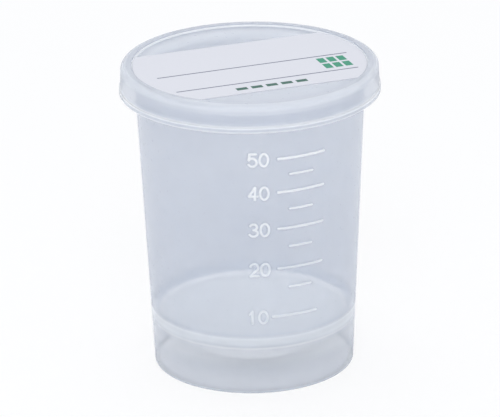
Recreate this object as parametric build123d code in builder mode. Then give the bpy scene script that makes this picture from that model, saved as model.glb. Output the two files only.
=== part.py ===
"""A lidded medicine cup: a tapered, graduated cup whose round-bottomed bowl hangs inside its own skirt,
a push-on lid with a shallow recess in its top, and a writing label stuck down in that recess."""
import os

from build123d import *

# All lengths are in millimetres and all angles in degrees. +Z is up, the cup stands on Z = 0 about the Z
# axis, and the front, where the scale is, faces -Y.

# Cup
foot_radius = 19.3  # outside of the skirt, where it stands on the table
mouth_radius = 22.1  # outside of the wall, produced to the top of the rim
cup_height = 59.1
wall = 0.9
flange_width = 1.4  # the rim turns outwards by this much, for the lid to snap over
flange_thickness = 1.2
bowl_radius = 24.0  # inside of the round bottom
bowl_wall = 0.9
bowl_clearance = 1.2  # from the table to the lowest point of the bowl
bowl_round = 1.5  # corner where the wall runs into the bowl
rim_bevel = 0.3
foot_bevel = min(0.2, wall / 4)
gate_radius = 1.5  # the moulding gate's mark, under the middle of the bowl
gate_drop = 0.3

# Scale, raised on the outside of the wall
mark_stroke = 0.45
mark_relief = 0.2
long_mark_drops = (10.6, 17.4, 24.9, 33.1)  # below the rim: 50, 40, 30 and 20 millilitres
short_mark_drops = (13.9, 21.0, 28.7, 37.1)  # 45, 35, 25 and 15 millilitres
lowest_mark_drop = 43.0  # 10 millilitres
long_mark_start = 12.8  # turn from the front towards +X to the mark's left end
long_mark_turn = 26.9
short_mark_start = 19.0
short_mark_turn = 13.8
lowest_mark_start = 9.7  # starts sooner, because its number is narrower

# Lid
lid_thickness = 0.8  # the recessed disc, which lies on the rim
land_rise = 0.5  # from the disc up to the land round it
land_width = 2.1  # from the recess out to the outside of the skirt
skirt_clearance = 0.35  # from the cup's flange to the inside of the lid's skirt
skirt_wall = 0.75
skirt_flare = 0.15  # how much wider the skirt is at the lip than at the shoulder
skirt_depth = 4.1  # from the underside of the disc to the bottom of the lip
lip_height = 1.1
lip_rise = 0.25  # from the foot of the skirt out to the edge of the lip
bead_height = 1.0  # the snap bead, a ridge inside the skirt
bead_gap = 0.2  # from the cup's flange down to the bead
snap_clearance = 0.05  # from the bead's crest to the edge of the flange
shoulder_bevel = 0.45
lip_bevel = 0.15

# Label, turned as it was stuck down
label_thickness = 0.1
label_clearance = 0.2  # from its round ends to the wall of the recess
label_upper_edge = 12.05  # from the lid's centre to each straight edge
label_lower_edge = 15.1
label_turn = 20.0

wall_slope = (mouth_radius - foot_radius) / cup_height
flange_radius = mouth_radius + flange_width
bowl_centre = bowl_clearance + bowl_wall + bowl_radius
flange_bottom = cup_height - flange_thickness
disc_top = cup_height + lid_thickness
land_top = disc_top + land_rise
lip_bottom = cup_height - skirt_depth
lip_top = lip_bottom + lip_height
skirt_inner_radius = flange_radius + skirt_clearance
skirt_outer_radius = skirt_inner_radius + skirt_wall
skirt_foot_radius = skirt_outer_radius + skirt_flare
recess_radius = skirt_outer_radius - land_width
lip_radius = skirt_foot_radius + lip_rise
bead_top = flange_bottom - bead_gap
bead_crest_radius = flange_radius + snap_clearance
label_radius = recess_radius - label_clearance


def wall_radius(height):
    """Outside radius of the cup's wall at a height above the table."""
    return foot_radius + wall_slope * height


# Each mark of the scale: its distance below the rim, where it starts and how far it runs round the cup.
scale_marks = [(drop, long_mark_start, long_mark_turn) for drop in long_mark_drops]
scale_marks += [(drop, short_mark_start, short_mark_turn) for drop in short_mark_drops]
scale_marks += [(lowest_mark_drop, lowest_mark_start, long_mark_turn)]

# The cup is one moulding. The bore is a round-ended plug cut to the taper of the wall, and the hollow
# inside the skirt is the same taper with the bowl's outside ball taken away from it. The scale's marks are
# low bars that stand out of the wall.
with BuildPart() as cup:
    with BuildSketch(Plane.XZ):
        with BuildLine():
            Polyline((0, 0), (foot_radius, 0), (mouth_radius, cup_height), (0, cup_height), close=True)
        make_face()
        with Locations((0, cup_height)):
            Rectangle(flange_radius, flange_thickness, align=(Align.MIN, Align.MAX))
    revolve(axis=Axis.Z)
    with BuildSketch(Plane.XZ) as bore:
        with Locations((0, bowl_centre)):
            Circle(bowl_radius)
            Rectangle(2 * bowl_radius, cup_height, align=(Align.CENTER, Align.MIN))
        with BuildLine():
            Polyline(
                (0, 0),
                (foot_radius - wall, 0),
                (mouth_radius - wall, cup_height),
                (0, cup_height),
                close=True,
            )
        make_face(mode=Mode.INTERSECT)
        fillet(bore.vertices().sort_by(Axis.Y)[1], bowl_round)
    revolve(axis=Axis.Z, mode=Mode.SUBTRACT)
    with BuildSketch(Plane.XZ):
        with BuildLine():
            Polyline(
                (0, 0),
                (foot_radius - wall, 0),
                (wall_radius(bowl_centre) - wall, bowl_centre),
                (0, bowl_centre),
                close=True,
            )
        make_face()
        with Locations((0, bowl_centre)):
            Circle(bowl_radius + bowl_wall, mode=Mode.SUBTRACT)
    revolve(axis=Axis.Z, mode=Mode.SUBTRACT)
    with BuildSketch(Plane.XY.offset(bowl_clearance - gate_drop)):
        Circle(gate_radius)
    extrude(amount=gate_drop + bowl_wall / 2)
    chamfer(cup.edges().group_by(Axis.Z)[-1], rim_bevel)
    chamfer(cup.edges().group_by(Axis.Z)[0], foot_bevel)
    for drop, start, turn in scale_marks:
        mark_height = cup_height - drop
        with BuildSketch(Plane.XZ.rotated((0, 0, start - 90))):
            with Locations((wall_radius(mark_height), mark_height)):
                Rectangle(2 * mark_relief, mark_stroke)
        revolve(axis=Axis.Z, revolution_arc=turn)

# The lid is one moulding, drawn as half of its section and turned about the axis.
with BuildPart() as lid:
    with BuildSketch(Plane.XZ):
        with BuildLine():
            Polyline(
                (0, cup_height),
                (skirt_inner_radius, cup_height),
                (skirt_inner_radius, bead_top),
                (bead_crest_radius, bead_top - bead_height / 2),
                (skirt_inner_radius, bead_top - bead_height),
                (skirt_inner_radius, lip_bottom),
                (lip_radius, lip_bottom),
                (lip_radius, lip_top),
                (skirt_foot_radius, lip_top),
                (skirt_outer_radius, land_top),
                (recess_radius, land_top),
                (recess_radius, disc_top),
                (0, disc_top),
                close=True,
            )
        make_face()
    revolve(axis=Axis.Z)
    round_edges = lid.edges().filter_by(GeomType.CIRCLE)
    shoulder = round_edges.group_by(Axis.Z)[-1].sort_by(SortBy.RADIUS)[-1]
    lip_edges = round_edges.sort_by(SortBy.RADIUS)[-2:]
    chamfer(shoulder, shoulder_bevel)
    chamfer(lip_edges, lip_bevel)

# The label is a film with two straight edges and two ends that follow the recess.
with BuildPart() as label:
    with BuildSketch(Plane.XY.offset(disc_top).rotated((0, 0, label_turn))):
        Circle(label_radius)
        with Locations((0, -label_lower_edge)):
            Rectangle(
                2 * label_radius,
                label_lower_edge + label_upper_edge,
                align=(Align.CENTER, Align.MIN),
                mode=Mode.INTERSECT,
            )
    extrude(amount=label_thickness)

os.makedirs("parts", exist_ok=True)
cup.part.label = "cup"
export_step(cup.part, "parts/cup.step")
lid.part.label = "lid"
export_step(lid.part, "parts/lid.step")
label.part.label = "label"
export_step(label.part, "parts/label.step")
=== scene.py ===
"""A lidded medicine cup of natural polypropylene on a pale table, seen from a little above.

Lengths in this file are in millimetres and become metres when a mesh is made. +Z is up, the cup stands on
Z = 0 about the Z axis, and its scale faces -Y, towards the camera. A section is a list of points (r, z),
where r is the distance from the Z axis.
"""
import math

import bpy
import numpy as np
from mathutils import Matrix, Vector


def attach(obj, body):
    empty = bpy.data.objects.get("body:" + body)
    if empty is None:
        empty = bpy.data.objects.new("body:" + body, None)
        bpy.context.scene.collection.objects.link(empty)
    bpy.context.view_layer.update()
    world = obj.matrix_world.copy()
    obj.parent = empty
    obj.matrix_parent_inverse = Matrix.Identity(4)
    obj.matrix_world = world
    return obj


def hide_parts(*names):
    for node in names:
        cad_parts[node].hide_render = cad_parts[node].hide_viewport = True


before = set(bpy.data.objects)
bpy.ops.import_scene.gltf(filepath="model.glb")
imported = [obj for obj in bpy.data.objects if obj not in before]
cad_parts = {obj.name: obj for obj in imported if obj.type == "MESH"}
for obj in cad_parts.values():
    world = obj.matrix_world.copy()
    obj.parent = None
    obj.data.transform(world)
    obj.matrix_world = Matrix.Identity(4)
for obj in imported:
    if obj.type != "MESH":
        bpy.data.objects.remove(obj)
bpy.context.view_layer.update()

MM = 0.001

# The cup, with the sizes that its solid has.
foot_radius, mouth_radius, cup_height, wall = 19.3, 22.1, 59.1, 0.9
slope = (mouth_radius - foot_radius) / cup_height
flange_radius, flange_bottom = 23.5, 57.9
bowl_centre, bowl_inside, bowl_outside = 26.1, 24.0, 24.9
root_fillet, bowl_round = 0.4, 1.5  # where the bowl meets the skirt below it and the wall above it
gate_radius, gate_bottom, gate_round = 1.5, 0.9, 0.12
foot_inner_round, foot_outer_round, flange_fillet, flange_round, rim_round = 0.2, 0.25, 0.3, 0.25, 0.35

# The lid and its label, with the sizes that their solids have.
disc_under, disc_top, land_top = 59.1, 59.9, 60.4
recess_radius, skirt_inside, skirt_outside, skirt_foot = 22.5, 23.85, 24.6, 24.75
lip_bottom, lip_top, lip_radius = 55.0, 56.1, 25.0
bead_bottom, bead_top, bead_crest = 56.7, 57.7, 0.3
shoulder_round, lip_round, lip_foot_round, lip_root_fillet = 0.9, 0.23, 0.22, 0.1
inner_top_round, inner_foot_round, brim_round, recess_fillet = 0.2, 0.15, 0.12, 0.06
shaded_ring_outside, shaded_ring_inside = 22.4, 21.5  # a ring of painted shade on the disc beside the recess's wall
label_turn, label_upper, label_lower, label_radius = math.radians(20.0), 12.05, -15.1, 22.3
label_thickness = 0.1
disc_gap, label_gap = 0.01, 0.02  # keep the lid off the rim and the label off the lid

# The scale: heights above the table, by the number that stands beside a mark.
long_marks = {50: 48.5, 40: 41.7, 30: 34.2, 20: 26.0}
lowest_number, lowest_mark = 10, 16.1
short_marks = (45.2, 38.1, 30.4, 22.0)
# Where marks start and end, in degrees from the front towards +X. Their ends are round, so their centre
# lines stop short of that by mark_cut, in millimetres.
long_turns, lowest_turns, short_turns, mark_cut = (12.8, 39.7), (9.7, 36.6), (19.0, 32.8), 0.25
mark_half_width, short_half_width, mark_relief = 0.32, 0.272, 0.22
# Where numbers start, in millimetres round the wall from the front, and the size of their digits.
number_left, lowest_number_left = -0.55, -1.05
digit_width, digit_height, digit_gap, stroke_half_width = 1.58, 2.5, 0.52, 0.3


# Camera

def make_camera():
    """A long lens that looks down by 21.2 degrees along +Y, rolled so that the cup's top leans left."""
    data = bpy.data.cameras.new("camera")
    data.sensor_fit = "HORIZONTAL"
    data.sensor_width = 36.0
    data.lens = 320.76
    data.clip_start, data.clip_end = 0.01, 20.0
    camera = bpy.data.objects.new("camera", data)
    bpy.context.scene.collection.objects.link(camera)
    down, roll, reach = math.radians(21.2), math.radians(0.95), 858.6
    aim = Vector((-0.374, 0.0, 30.5)) * MM
    back = Vector((0.0, -math.cos(down), math.sin(down)))
    right = Vector((1.0, 0.0, 0.0))
    up = back.cross(right)
    turned_right = right * math.cos(roll) - up * math.sin(roll)
    turned_up = up * math.cos(roll) + right * math.sin(roll)
    axes = Matrix((turned_right, turned_up, back)).transposed().to_4x4()
    camera.matrix_world = Matrix.Translation(aim + back * reach * MM) @ axes
    bpy.context.scene.camera = camera


make_camera()


# Meshes

def mesh_piece(name, points, faces, material, attributes=None, smooth=True):
    """Makes a mesh object at the origin from points in millimetres, with named point attributes."""
    mesh = bpy.data.meshes.new(name)
    mesh.from_pydata((points * MM).tolist(), [], faces)
    mesh.polygons.foreach_set("use_smooth", np.full(len(mesh.polygons), smooth))
    for label, values in (attributes or {}).items():
        layer = mesh.attributes.new(label, "FLOAT", "POINT")
        layer.data.foreach_set("value", np.asarray(values, np.float32))
    mesh.materials.append(material)
    mesh.update()
    piece = bpy.data.objects.new(name, mesh)
    bpy.context.scene.collection.objects.link(piece)
    return piece


def on_wall(height, inset=0.0):
    """The point of a section at a height on the outside of the tapered wall, or inset from there."""
    return (foot_radius - inset + slope * height, height)


def arc(centre, radius, start, end, count):
    """Points on a circle about centre from one angle to another: centre + radius (cos a, sin a)."""
    a = np.radians(np.linspace(start, end, count))
    return np.column_stack([centre[0] + radius * np.cos(a), centre[1] + radius * np.sin(a)])


def run(start, end, step):
    """Points along a straight line, about step apart, without its two ends."""
    start, end = np.array(start, float), np.array(end, float)
    count = max(2, int(np.ceil(np.linalg.norm(end - start) / step)) + 1)
    return (start + np.linspace(0, 1, count)[:, None] * (end - start))[1:-1]


def rounded(before, corner, after, radius, count):
    """The arc that rounds a corner of a section: it touches both straight sides at the same distance
    radius / tan(half the corner's angle) from the corner, and its centre is on the bisector."""
    before, corner, after = (np.array(p, float) for p in (before, corner, after))
    a = (before - corner) / np.linalg.norm(before - corner)
    b = (after - corner) / np.linalg.norm(after - corner)
    half = math.acos(np.clip(a @ b, -1, 1)) / 2
    bisector = (a + b) / np.linalg.norm(a + b)
    centre = corner + bisector * radius / math.sin(half)
    first, last = corner + a * radius / math.tan(half), corner + b * radius / math.tan(half)
    start = math.degrees(math.atan2(*(first - centre)[::-1]))
    turn = math.degrees(math.atan2(*(last - centre)[::-1])) - start
    turn = (turn + 180) % 360 - 180
    return arc(centre, radius, start, start + turn, count)


def ball_corner(outside, radius):
    """The rounding between the inner wall and the outside or the inside of the bowl's ball: its centre
    lies radius in from the wall and radius off the ball, and it touches both. Returns the centre and the
    angles of its touches with the wall and the ball."""
    lean = math.atan(slope)
    ball = bowl_outside + radius if outside else bowl_inside - radius
    across = (foot_radius - wall) * math.cos(lean) - radius
    along = math.cos(lean) * bowl_centre - math.sqrt(ball**2 - (across + math.sin(lean) * bowl_centre) ** 2)
    centre = (
        across * math.cos(lean) + along * math.sin(lean),
        along * math.cos(lean) - across * math.sin(lean),
    )
    to_ball = math.degrees(math.atan2(centre[1] - bowl_centre, centre[0]))
    return centre, -math.degrees(lean), to_ball


def fine_steps(low, high, zones, coarse):
    """Values from low to high: as far apart inside each zone (from, to, step) as it says, and coarse
    apart outside them."""
    stops = sorted({low, high, *(v for zone in zones for v in zone[:2])})
    values = [low]
    for a, b in zip(stops[:-1], stops[1:]):
        step = min([coarse] + [zone[2] for zone in zones if zone[0] <= (a + b) / 2 <= zone[1]])
        count = max(1, int(math.ceil((b - a) / step)))
        values += list(np.linspace(a, b, count + 1)[1:])
    return np.array(values)


def closed_faces(rows, columns):
    """Quads between neighbouring rings, and fans from the two points on the axis."""
    i, j = np.meshgrid(np.arange(rows - 1), np.arange(columns), indexing="ij")
    k = (j + 1) % columns
    quads = np.stack([i * columns + j, i * columns + k, (i + 1) * columns + k, (i + 1) * columns + j], -1)
    j = np.arange(columns)
    k = (j + 1) % columns
    first, last = rows * columns, rows * columns + 1
    low = np.stack([np.full(columns, first), k, j], -1)
    high = np.stack([np.full(columns, last), (rows - 1) * columns + j, (rows - 1) * columns + k], -1)
    return quads.reshape(-1, 4).tolist() + low.tolist() + high.tolist()


def lathe_piece(name, section, angles, material, attributes, relief=None):
    """A closed lathe surface: point (r, z) of the section at angle a is (r sin a, -r cos a, z), and relief
    moves it along the tapered wall's outward direction (sin a, -cos a, -slope). The section's first and
    last points lie on the axis and close the surface as single points. The attributes and the relief
    have a row for each point of the section and a column for each angle, or one column for all."""
    r, z = section[1:-1, :1], section[1:-1, 1:]
    ring = np.stack([r * np.sin(angles), -r * np.cos(angles), z + 0 * angles], -1)
    if relief is not None:
        out = np.stack([np.sin(angles), -np.cos(angles), -slope + 0 * angles], -1)
        ring += relief[1:-1, :, None] * out
    poles = [[0, 0, section[0, 1]], [0, 0, section[-1, 1]]]
    points = np.vstack([ring.reshape(-1, 3), poles])
    layers = {}
    for label, values in attributes.items():
        values = values + np.zeros((len(section), len(angles)))
        layers[label] = np.append(values[1:-1].ravel(), values[[0, -1], 0])
    return mesh_piece(name, points, closed_faces(*ring.shape[:2]), material, layers)


def joined(parts, skins):
    """The whole section of a list of named parts, and for each kind of value in a part's skin one column
    with a row for each point."""
    section = np.vstack([points for name, points in parts])
    values = np.vstack([np.tile(skins[name], (len(points), 1)) for name, points in parts])
    return section, *(column[:, None].copy() for column in values.T)


def fade(values, full, clear):
    """1 where the values reach full, 0 where they reach clear, and straight in between."""
    return np.clip((values - clear) / (full - clear), 0, 1)


def peak(values, centre, reach, top=1.0):
    """A ridge: top at the centre, less by 1 for each reach away from it, and held between 0 and 1."""
    return np.clip(top - np.abs(values - centre) / reach, 0, 1)


# The scale's relief

def strokes_of(digit):
    """The centre lines of a digit's strokes in a box one wide and one high, as round and straight runs."""
    def bend(x, y, wide, high, start, end):
        a = np.radians(np.linspace(start, end, 25))
        return np.column_stack([x + wide * np.cos(a), y + high * np.sin(a)])

    shapes = {
        "0": [bend(0.5, 0.5, 0.5, 0.5, 0, 360)],
        "1": [np.array([[0.18, 0.78], [0.5, 1.0], [0.5, 0.0]])],
        "2": [np.vstack([bend(0.5, 0.7, 0.46, 0.3, 165, -38), [[0.03, 0.0], [1.0, 0.0]]])],
        "3": [bend(0.48, 0.76, 0.42, 0.24, 155, -90), bend(0.48, 0.26, 0.5, 0.26, 90, -155)],
        "4": [np.array([[0.72, 0.0], [0.72, 1.0], [0.0, 0.28], [1.0, 0.28]])],
        "5": [np.vstack([[[0.9, 1.0], [0.14, 1.0], [0.06, 0.52]], bend(0.47, 0.33, 0.5, 0.33, 128, -150)])],
    }
    return shapes[digit]


def distance_to(lines, u, v):
    """Distance from each point (u, v) to the nearest of the runs: per straight piece, the point's share
    along it is held between 0 and 1 and the rest of the way is measured."""
    nearest = np.full(u.shape, 1e9)
    for line in lines:
        for a, b in zip(line[:-1], line[1:]):
            d = b - a
            t = np.clip(((u - a[0]) * d[0] + (v - a[1]) * d[1]) / (d @ d + 1e-12), 0, 1)
            nearest = np.minimum(nearest, np.hypot(u - a[0] - t * d[0], v - a[1] - t * d[1]))
    return nearest


def scale_relief(angles, heights):
    """How far the wall stands out at each height and angle, from 0 to 1, and how near the root of a
    stroke is, from 0 to 1. A stroke is a low ridge with a round back, as a ball cutter leaves in the
    mould: (1 - (distance / half width) squared) to the power 0.6. The root reaches 0.2 mm either way."""
    z = heights[:, None] + 0 * angles
    around = angles * (foot_radius + slope * z)
    relief, root = np.zeros(z.shape), np.zeros(z.shape)

    def raise_strokes(lines, height, reach, half_width):
        near = np.abs(heights - height) < reach
        d = distance_to(lines, around[near], z[near])
        relief[near] = np.maximum(relief[near], np.clip(1 - (d / half_width) ** 2, 0, 1) ** 0.6)
        root[near] = np.maximum(root[near], peak(d, half_width + 0.02, 0.2))

    bars = [(height, long_turns, mark_half_width) for height in long_marks.values()]
    bars += [(lowest_mark, lowest_turns, mark_half_width)]
    bars += [(height, short_turns, short_half_width) for height in short_marks]
    for height, turns, half_width in bars:
        left, right = np.radians(turns) * on_wall(height)[0] + (mark_cut, -mark_cut)
        raise_strokes([np.array([[left, height], [right, height]])], height, 1.0, half_width)

    numbers = [(number, height, number_left) for number, height in long_marks.items()]
    numbers += [(lowest_number, lowest_mark, lowest_number_left)]
    for number, height, left in numbers:
        lines = []
        for digit in str(number):
            low = height - digit_height / 2
            lines += [stroke * (digit_width, digit_height) + (left, low) for stroke in strokes_of(digit)]
            left += digit_width + digit_gap
        raise_strokes(lines, height, digit_height, stroke_half_width)
    return relief, root


# Materials

mix_colours = {"data_type": "RGBA"}  # sockets 0, 6 and 7 are the share and the two colours, 2 the result
times, larger = {"operation": "MULTIPLY"}, {"operation": "MAXIMUM"}


def linear(code):
    """An sRGB hex colour as linear values, opaque."""
    channels = [int(code[i:i + 2], 16) / 255 for i in (0, 2, 4)]
    return tuple(c / 12.92 if c <= 0.04045 else ((c + 0.055) / 1.055) ** 2.4 for c in channels) + (1.0,)


def add(tree, kind, settings=None, **inputs):
    """Adds a node, sets its properties, and sets or links its inputs, which are named by their labels
    with _ for a space, or by number after an i."""
    node = tree.nodes.new(kind)
    for name, value in (settings or {}).items():
        setattr(node, name, value)
    for name, value in inputs.items():
        by_number = name[0] == "i" and name[1:].isdigit()
        socket = node.inputs[int(name[1:]) if by_number else name.replace("_", " ")]
        if isinstance(value, bpy.types.NodeSocket):
            tree.links.new(value, socket)
        else:
            socket.default_value = value
    return node


def new_material(name):
    """An empty node material and its tree."""
    material = bpy.data.materials.new(name)
    material.use_nodes = True
    material.node_tree.nodes.clear()
    return material, material.node_tree


def polypropylene(name, thin, clear, milky):
    """Natural polypropylene, injection moulded: milky and see-through where it is thin, whiter and less
    see-through where it is thick, with a soft gloss and the faint unevenness of a moulded skin.
    The attribute see gives how much a skin hides, hold how much of that it also keeps from the light that
    passes through, and the third attribute how white the skin is: how thick the plastic is there and where
    a highlight is painted on, or, below 0, how much shade is painted on at a sharp corner."""
    material, tree = new_material(name)
    place = add(tree, "ShaderNodeTexCoord").outputs["Object"]
    see, milk_and_painted_light, hold = (
        add(tree, "ShaderNodeAttribute", {"attribute_name": label}).outputs["Fac"]
        for label in ("see", "milk_and_painted_light", "hold")
    )
    # Clouds about 9 mm across, where the melt cooled unevenly.
    clouds = add(tree, "ShaderNodeTexNoise", Vector=place, Scale=110.0, Detail=2.0).outputs["Fac"]
    drift = add(
        tree, "ShaderNodeMapRange", Value=clouds, From_Min=0.3, From_Max=0.7, To_Min=clear, To_Max=milky
    ).outputs[0]
    # Painted shade: below 0 the colour goes towards a darker grey, for the shade at sharp corners. Above 0
    # it goes towards white, for thick places and for painted highlights.
    painted_shade_share = add(tree, "ShaderNodeMapRange", Value=milk_and_painted_light, From_Min=-1.0, From_Max=0.0, To_Min=1.0, To_Max=0.0)
    plain = add(
        tree, "ShaderNodeMix", mix_colours, i0=painted_shade_share.outputs[0], i6=linear(thin), i7=linear("7A8294")
    ).outputs[2]
    white = add(tree, "ShaderNodeMapRange", Value=milk_and_painted_light, From_Min=0.0, From_Max=1.0, To_Min=0.0, To_Max=1.0)
    colour = add(
        tree, "ShaderNodeMix", mix_colours, i0=white.outputs[0], i6=plain, i7=linear("F0F2F3")
    ).outputs[2]
    # The skin's orange peel, about 0.7 mm from hump to hump.
    peel = add(tree, "ShaderNodeTexNoise", Vector=place, Scale=1400.0, Detail=3.0).outputs["Fac"]
    bump = add(tree, "ShaderNodeBump", Strength=0.12, Distance=0.00003, Height=peel).outputs[0]
    rough = add(
        tree, "ShaderNodeMapRange", Value=peel, From_Min=0.3, From_Max=0.7, To_Min=0.27, To_Max=0.36
    ).outputs[0]
    # Milky plastic hides what is behind it, but passes most of the light on, so light reaches the inside.
    hidden = add(tree, "ShaderNodeMath", {"operation": "MULTIPLY", "use_clamp": True}, i0=see, i1=drift)
    rays = add(tree, "ShaderNodeLightPath").outputs
    light = add(tree, "ShaderNodeMath", larger, i0=rays["Is Shadow Ray"], i1=rays["Is Diffuse Ray"])
    kept = add(
        tree, "ShaderNodeMapRange", Value=light.outputs[0],
        From_Min=0.0, From_Max=1.0, To_Min=1.0, To_Max=hold,
    )
    stop = add(tree, "ShaderNodeMath", times, i0=hidden.outputs[0], i1=kept.outputs[0]).outputs[0]
    # Light that enters the plastic wanders a few millimetres in it, so a wall glows on both its sides.
    shader = add(
        tree, "ShaderNodeBsdfPrincipled", {"subsurface_method": "RANDOM_WALK"}, Base_Color=colour,
        Roughness=rough, IOR=1.49, Specular_IOR_Level=0.2, Alpha=stop, Normal=bump, Subsurface_Weight=1.0,
        Subsurface_Radius=(1, 1, 1), Subsurface_Scale=3 * MM,
    ).outputs[0]
    add(tree, "ShaderNodeOutputMaterial", Surface=shader)
    return material


def writing_film():
    """Polyester writing film with a white matt coat, printed in one pass: two ruled lines to write on, a
    block of plain green tick boxes and a row of plain dark green dashes. The coat has a fine tooth."""
    material, tree = new_material("polyester_writing_film_coated")
    place = add(tree, "ShaderNodeTexCoord").outputs["Object"]
    # u runs along the label and v up it, in millimetres.
    ruled = add(
        tree, "ShaderNodeMapping", {"vector_type": "TEXTURE"}, Vector=place,
        Rotation=(0, 0, label_turn), Scale=(MM, MM, MM),
    ).outputs[0]
    u, v = add(tree, "ShaderNodeSeparateXYZ", Vector=ruled).outputs[:2]
    coat = add(tree, "ShaderNodeTexNoise", Vector=place, Scale=2500.0, Detail=2.0).outputs["Fac"]
    colour = add(
        tree, "ShaderNodeMix", mix_colours, i0=coat, i6=linear("D1D3DB"), i7=linear("D7D8DF")
    ).outputs[2]
    # Each field is a rectangle from left to right and low to high, and its ink.
    grey, green, dark_green = "6A7084", "1F8A6C", "285C50"
    prints = [(-19.0, 19.4, -1.22, -0.82, grey), (-18.2, 18.4, -9.92, -9.52, grey)]
    for left in (12.6, 14.6, 16.6):
        prints += [(left, left + 1.5, low, low + 2.6, green) for low in (-8.1, -4.8)]
    prints += [(left, left + 2.2, -13.3, -12.0, dark_green) for left in (-7.3, -4.3, -1.3, 1.7, 4.7)]
    within = {"operation": "COMPARE"}  # 1 where a value differs from i1 by no more than i2
    for left, right, low, high, ink in prints:
        across = add(tree, "ShaderNodeMath", within, i0=u, i1=(left + right) / 2, i2=(right - left) / 2)
        along = add(tree, "ShaderNodeMath", within, i0=v, i1=(low + high) / 2, i2=(high - low) / 2)
        field = add(tree, "ShaderNodeMath", times, i0=across.outputs[0], i1=along.outputs[0]).outputs[0]
        colour = add(tree, "ShaderNodeMix", mix_colours, i0=field, i6=colour, i7=linear(ink)).outputs[2]
    tooth = add(tree, "ShaderNodeBump", Strength=0.1, Distance=0.00002, Height=coat).outputs[0]
    shader = add(
        tree, "ShaderNodeBsdfPrincipled", Base_Color=colour, Roughness=0.55, IOR=1.55, Normal=tooth
    ).outputs[0]
    add(tree, "ShaderNodeOutputMaterial", Surface=shader)
    return material


label_coat = writing_film()
cup_plastic = polypropylene("natural_polypropylene_moulded_cup", "ADB5C3", 0.96, 1.04)
lid_plastic = polypropylene("natural_polypropylene_moulded_lid", "B8BDC7", 0.97, 1.03)


# Cup

# The skin of each part of its section: how much it hides, how thick it is or how much light or shade is
# painted on, and how much light it holds. The foot's inner edge and the bowl's corner have a painted
# highlight, and the bowl's underside and the gate are painted white for the light that comes through the
# bowl. Most of the milkiness is on the outer skins, so that the edges look as milky as the middle.
cup_skins = {
    "gate": (0.95, 1.0, 0.5),
    "under": (0.95, 1.0, 0.5),
    "skirt": (0.04, 0.0, 0.3),
    "edge": (0.9, 1.0, 0.05),
    "foot": (0.5, 0.0, 0.05),
    "outside": (0.36, 0.0, 0.3),
    "flange": (0.85, 0.8, 0.4),
    "bore": (0.04, 0.0, 0.3),
    "corner": (0.45, 0.4, 0.5),
    "bowl": (0.7, 0.8, 0.65),
}
# Heights that the skin changes at: where the skirt ends to look through and where its painted light ends,
# the painted highlight ring where the bowl leaves it, and the middle and the upper edge of the bowl's root
# in the wall.
skirt_top, skirt_painted_light_top, highlight_ring_height, root_middle, root_top = 9.5, 9.6, 10.15, 10.7, 11.5

# Where the mesh is fine enough for the numbers, the ends of marks and the bowl's root, as (from, to, step),
# in millimetres of height and in degrees from the front, and how far apart its points are elsewhere.
fine_rows = [(height - 1.75, height + 1.75, 0.1) for height in (*long_marks.values(), lowest_mark)]
fine_rows += [(height - 0.45, height + 0.45, 0.1) for height in short_marks] + [(8.4, 12.7, 0.2)]
fine_turns = [(-4.2, 13.6), (18.2, 19.6), (32.2, 33.6), (35.9, 37.3), (39.0, 40.4)]
fine_turns = [(start, end, 0.26) for start, end in fine_turns]
coarse_row, coarse_turn = 1.6, 3.2


def cup_section():
    """The named parts of the cup's section, from the axis under the bowl, out, down the skirt, round the
    foot, up the outside, round the rim and down the bore to the axis again."""
    skirt_inner, skirt_outer = on_wall(9, wall), on_wall(9)
    foot_inner, foot_outer = on_wall(0, wall), on_wall(0)
    root, root_wall, root_ball = ball_corner(True, root_fillet)
    corner, corner_wall, corner_ball = ball_corner(False, bowl_round)
    gate_middle, gate_edge = (0, gate_bottom), (gate_radius, gate_bottom)
    gate_top = (gate_radius, bowl_centre - math.sqrt(bowl_outside**2 - gate_radius**2))
    gate_angle = math.degrees(math.atan2(gate_top[1] - bowl_centre, gate_radius))
    foot = rounded(foot_inner, foot_outer, skirt_outer, foot_outer_round, 6)
    outside_rows = fine_steps(0.6, flange_bottom - 0.5, fine_rows, coarse_row)
    outside = np.array([on_wall(height) for height in outside_rows])
    flange_foot, flange_low = on_wall(flange_bottom), (flange_radius, flange_bottom)
    flange_high, mouth = (flange_radius, cup_height), on_wall(cup_height, wall)
    bore_top, bore_bottom = on_wall(cup_height - 1, wall), on_wall(corner[1] + 0.2, wall)
    bowl = arc((0, bowl_centre), bowl_inside, corner_ball, -90, 62)[1:]
    bowl[-1, 0] = 0
    return [
        ("gate", [gate_middle]),
        ("gate", run(gate_middle, gate_edge, 0.6)),
        ("gate", rounded(gate_middle, gate_edge, gate_top, gate_round, 4)),
        ("under", arc((0, bowl_centre), bowl_outside, gate_angle, root_ball, 60)),
        ("under", arc(root, root_fillet, root_ball + 180, root_wall + 360, 8)[1:]),
        ("skirt", run(skirt_inner, foot_inner, 0.9)),
        ("edge", rounded(skirt_inner, foot_inner, foot_outer, foot_inner_round, 5)),
        ("edge", foot[:1]),
        ("foot", foot[1:]),
        ("outside", outside),
        ("flange", rounded(outside[-1], flange_foot, flange_low, flange_fillet, 5)),
        ("flange", rounded(flange_foot, flange_low, flange_high, flange_round, 5)),
        ("flange", rounded(flange_low, flange_high, mouth, rim_round, 6)),
        ("flange", rounded(flange_high, mouth, bore_top, rim_round, 6)),
        ("bore", [bore_top]),
        ("bore", run(bore_top, bore_bottom, 1.2)),
        ("bore", [bore_bottom]),
        ("corner", arc(corner, bowl_round, corner_wall, corner_ball, 12)),
        ("bowl", bowl),
    ]


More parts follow.
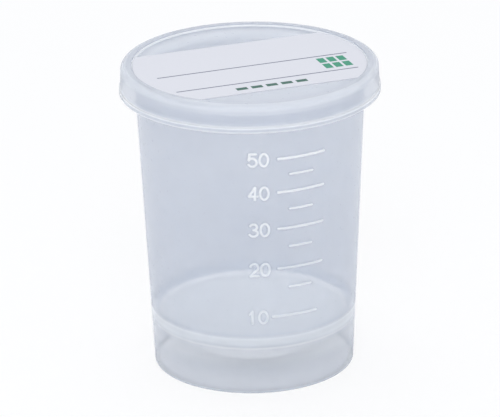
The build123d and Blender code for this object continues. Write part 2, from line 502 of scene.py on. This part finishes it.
def make_cup():
    """The cup turned from its section, with the scale raised out of its outer wall."""
    parts = cup_section()
    section, see, milk_and_painted_light, hold = joined(parts, cup_skins)
    part_of = np.concatenate([[name] * len(points) for name, points in parts])
    outside, bowl = part_of == "outside", part_of == "bowl"
    angles = np.radians(fine_steps(-180.0, 180.0, fine_turns, coarse_turn)[:-1])
    relief, root = np.zeros((2, len(section), len(angles)))
    relief[outside], root[outside] = scale_relief(angles, section[outside, 1])
    # The bowl is seen as a bowl from where it leaves the skirt, and a fine painted highlight marks that
    # ring.
    # Its whiter colour is partly painted light, for the light that reaches it through the lid and the
    # walls.
    z = section[bowl, 1:]
    apart, line = fade(z, 10.0, 10.5), peak(z, highlight_ring_height, 0.4)
    see[bowl] = 0.5 + 0.2 * apart + 0.25 * line
    milk_and_painted_light[bowl] = 0.4 + 0.4 * apart + 0.6 * line
    # The wall is thick where the bowl grows out of it, and whiter there; the fine line at the upper edge of
    # the root is a painted highlight.
    z = section[outside, 1:]
    thick_band_and_highlight = peak(z, root_middle, 1.1, 1.4) + 0.5 * peak(z, root_top, 0.35)
    # The skirt alone is thinner to look through than the wall above it, but holds back more light. It is
    # painted lighter towards the bowl's root, for light that comes through the bowl, and painted darker
    # towards the table, for the shade inside the skirt.
    skirt = fade(z, skirt_top - 1, skirt_top)
    painted_glow_and_shade = (0.3 * fade(z, 6.5, 5.0) - 0.2 * fade(z, 3.0, 4.5)) * (z < skirt_painted_light_top)
    see[outside] += 0.25 * thick_band_and_highlight - 0.09 * skirt
    milk_and_painted_light[outside] += 0.5 * thick_band_and_highlight + painted_glow_and_shade
    hold[outside] += 0.9 * skirt
    # A stroke of the scale is thicker and whiter, partly a painted highlight, and has painted shade at its
    # root. The lower a stroke stands, the less its whiteness and shade show.
    sharp = 0.2 + 0.0175 * section[:, 1:]
    attributes = {
        "see": see + 0.35 * relief * sharp,
        "milk_and_painted_light": milk_and_painted_light + (0.95 * relief - 0.4 * root) * sharp,
        "hold": hold,
    }
    return lathe_piece("cup_moulding", section, angles, cup_plastic, attributes, mark_relief * relief)


cup = make_cup()
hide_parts("cup")
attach(cup, "cup")


# Lid

# The skin of each part of its section: how much it hides, and how thick it is, with painted highlights on
# the lip, its foot and the recess's riser, and painted shade on the brim, the step and, faintly, the land.
lid_skins = {
    "under": (0.05, 0.0),
    "inside": (0.05, 0.0),
    "foot": (0.7, 0.6),
    "face": (0.6, 0.1),
    "lip": (0.8, 0.55),
    "root": (0.7, 0.1),
    "outside": (0.6, 0.0),
    "shoulder": (0.65, 0.15),
    "land": (0.6, -0.02),
    "brim": (0.7, -0.4),
    "riser": (0.85, 0.65),
    "step": (0.65, -0.25),
    "disc": (0.6, 0.0),
}
lid_hold = 0.35  # how much light every part of the lid holds


def make_lid():
    """The lid turned from its section: from the axis under the disc, out, down the skirt's inside with
    its bead, round the lip, up the skirt's outside, over the land and down into the recess."""
    under = disc_under + disc_gap
    middle, inner_top, outer_top = (0, under), (skirt_inside, under), (skirt_outside, land_top)
    inner_foot, lip_foot = (skirt_inside, lip_bottom), (lip_radius, lip_bottom)
    lip_edge, lip_root = (lip_radius, lip_top), (skirt_foot, lip_top)
    rim, recess = (recess_radius, land_top), (recess_radius, disc_top)
    face = run((lip_radius, lip_bottom + lip_foot_round), (lip_radius, lip_top - 0.35), 0.1)
    land = run((skirt_outside - shoulder_round, land_top), (recess_radius + 0.15, land_top), 0.25)
    riser = run((recess_radius, land_top - brim_round), (recess_radius, disc_top + recess_fillet), 0.08)
    # The bead is one hump of a squared cosine.
    bead_z = np.linspace(bead_top, bead_bottom, 9)
    hump = np.cos((bead_z - (bead_top + bead_bottom) / 2) * math.pi / (bead_top - bead_bottom)) ** 2
    bead = np.column_stack([skirt_inside - bead_crest * hump, bead_z])
    parts = [
        ("under", [middle]),
        ("under", run(middle, inner_top, 1.5)),
        ("inside", rounded(middle, inner_top, inner_foot, inner_top_round, 5)),
        ("inside", bead),
        ("inside", run((skirt_inside, bead_bottom), inner_foot, 0.6)),
        ("inside", rounded(inner_top, inner_foot, lip_foot, inner_foot_round, 4)),
        ("foot", rounded(inner_foot, lip_foot, lip_edge, lip_foot_round, 6)),
        ("face", face),
        ("lip", rounded(lip_foot, lip_edge, (skirt_inside, lip_top), lip_round, 7)),
        ("lip", rounded(lip_edge, lip_root, outer_top, lip_root_fillet, 4)),
        ("root", run(lip_root, outer_top, 0.15)[2:3]),
        ("outside", run(lip_root, outer_top, 0.3)[2:-4]),
        ("shoulder", rounded(lip_root, outer_top, rim, shoulder_round, 14)),
        ("land", land),
        ("brim", rounded(outer_top, rim, recess, brim_round, 5)),
        ("riser", riser),
        ("riser", rounded(rim, recess, (0, disc_top), recess_fillet, 3)),
        # The step is a flat ring of the disc with painted shade on it.
        ("step", run((shaded_ring_outside, disc_top), (shaded_ring_inside, disc_top), 0.25)),
        ("disc", run((shaded_ring_inside, disc_top), (0, disc_top), 1.5)),
        ("disc", [(0, disc_top)]),
    ]
    section, see, milk_and_painted_light = joined(parts, lid_skins)
    angles = np.radians(np.linspace(-180, 180, 181)[:-1])
    attributes = {"see": see, "milk_and_painted_light": milk_and_painted_light, "hold": lid_hold}
    return lathe_piece("lid_moulding", section, angles, lid_plastic, attributes)


lid = make_lid()
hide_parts("lid")
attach(lid, "lid")


# Label

def make_label():
    """A film between two straight edges and two round ends. Each row across it at v runs to the circle,
    u = share * root(radius squared - v squared), over the top and back underneath, and the two straight
    edges are closed from top to bottom."""
    rows, half = 29, 41
    columns = 2 * half
    v = np.repeat(np.linspace(label_lower, label_upper, rows)[:, None], columns, 1)
    share = np.sin(np.linspace(-math.pi / 2, math.pi / 2, half))
    u = np.concatenate([share, share[::-1]]) * np.sqrt(label_radius**2 - v**2)
    z = disc_top + label_gap + label_thickness * (np.arange(columns) < half) + 0 * u
    x = u * math.cos(label_turn) - v * math.sin(label_turn)
    y = u * math.sin(label_turn) + v * math.cos(label_turn)
    i, j = np.meshgrid(np.arange(rows - 1) * columns, np.arange(columns), indexing="ij")
    k = (j + 1) % columns
    sides = np.stack([i + j, i + k, i + columns + k, i + columns + j], -1).reshape(-1, 4)
    a = np.arange(half - 1)
    near = np.stack([a, columns - 1 - a, columns - 2 - a, a + 1], -1)
    far = near[:, ::-1] + (rows - 1) * columns
    points, faces = np.stack([x, y, z], -1).reshape(-1, 3), np.vstack([sides, near, far]).tolist()
    return mesh_piece("label_film", points, faces, label_coat, smooth=False)


label = make_label()
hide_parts("label")
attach(label, "lid")


# Floor, light and background

def direct_sight(tree):
    """The outputs of Light Path, and 1 where the camera looks, also in a reflection or through glass."""
    rays = add(tree, "ShaderNodeLightPath").outputs
    seen = add(tree, "ShaderNodeMath", larger, i0=rays["Is Camera Ray"], i1=rays["Is Glossy Ray"])
    seen = add(tree, "ShaderNodeMath", larger, i0=seen.outputs[0], i1=rays["Is Transmission Ray"])
    return rays, seen.outputs[0]


def make_floor():
    """A plain pale table. The camera and reflections see it three quarters white where no plastic is in
    front of it, and the rest of it takes the object's shadow."""
    material, tree = new_material("painted_table_matt")
    rays, seen = direct_sight(tree)
    bare = add(tree, "ShaderNodeMath", {"operation": "LESS_THAN"}, i0=rays["Transparent Depth"], i1=0.5)
    share = add(
        tree, "ShaderNodeMapRange", Value=bare.outputs[0],
        From_Min=0.0, From_Max=1.0, To_Min=0.0, To_Max=0.75,
    )
    share = add(tree, "ShaderNodeMath", times, i0=seen, i1=share.outputs[0]).outputs[0]
    paint = add(tree, "ShaderNodeBsdfDiffuse", Color=linear("F5F6F8")).outputs[0]
    white = add(tree, "ShaderNodeEmission", Color=(1, 1, 1, 1), Strength=1.0).outputs[0]
    both = add(tree, "ShaderNodeMixShader", i0=share, i1=paint, i2=white).outputs[0]
    add(tree, "ShaderNodeOutputMaterial", Surface=both)
    reach, drop = 1500, -0.02  # a hair below the foot, so that the two faces don't share a plane
    corners = [[-reach, -reach, drop], [reach, -reach, drop], [reach, reach, drop], [-reach, reach, drop]]
    floor = mesh_piece("floor", np.array(corners, float), [[0, 1, 2, 3]], material)


def make_world():
    """An even pale surround: white where the camera and reflections see it, softer as light."""
    world = bpy.data.worlds.new("surround")
    world.use_nodes = True
    tree = world.node_tree
    tree.nodes.clear()
    seen = direct_sight(tree)[1]
    white = add(tree, "ShaderNodeBackground", Color=(1, 1, 1, 1), Strength=1.0).outputs[0]
    soft = add(tree, "ShaderNodeBackground", Color=linear("F6F8FC"), Strength=0.84).outputs[0]
    both = add(tree, "ShaderNodeMixShader", i0=seen, i1=soft, i2=white).outputs[0]
    add(tree, "ShaderNodeOutputWorld", Surface=both)
    bpy.context.scene.world = world


def make_lamp(name, place, size, power):
    """A square soft box at a place in millimetres, aimed at the middle of the cup."""
    data = bpy.data.lights.new(name, "AREA")
    data.shape = "SQUARE"
    data.size = size * MM
    data.energy = power
    lamp = bpy.data.objects.new(name, data)
    bpy.context.scene.collection.objects.link(lamp)
    place, middle = Vector(place) * MM, Vector((0, 0, 30)) * MM
    lamp.location = place
    lamp.rotation_euler = (middle - place).to_track_quat("-Z", "Y").to_euler()


make_floor()
make_world()
make_lamp("soft_box_above", (-80, 260, 700), 500, 0.7)
make_lamp("soft_box_front", (-20, -600, 560), 350, 2.0)
bpy.context.scene.view_settings.view_transform = "Standard"
# A look through both walls, the bowl and the lid crosses many see-through skins.
bpy.context.scene.cycles.transparent_max_bounces = 24
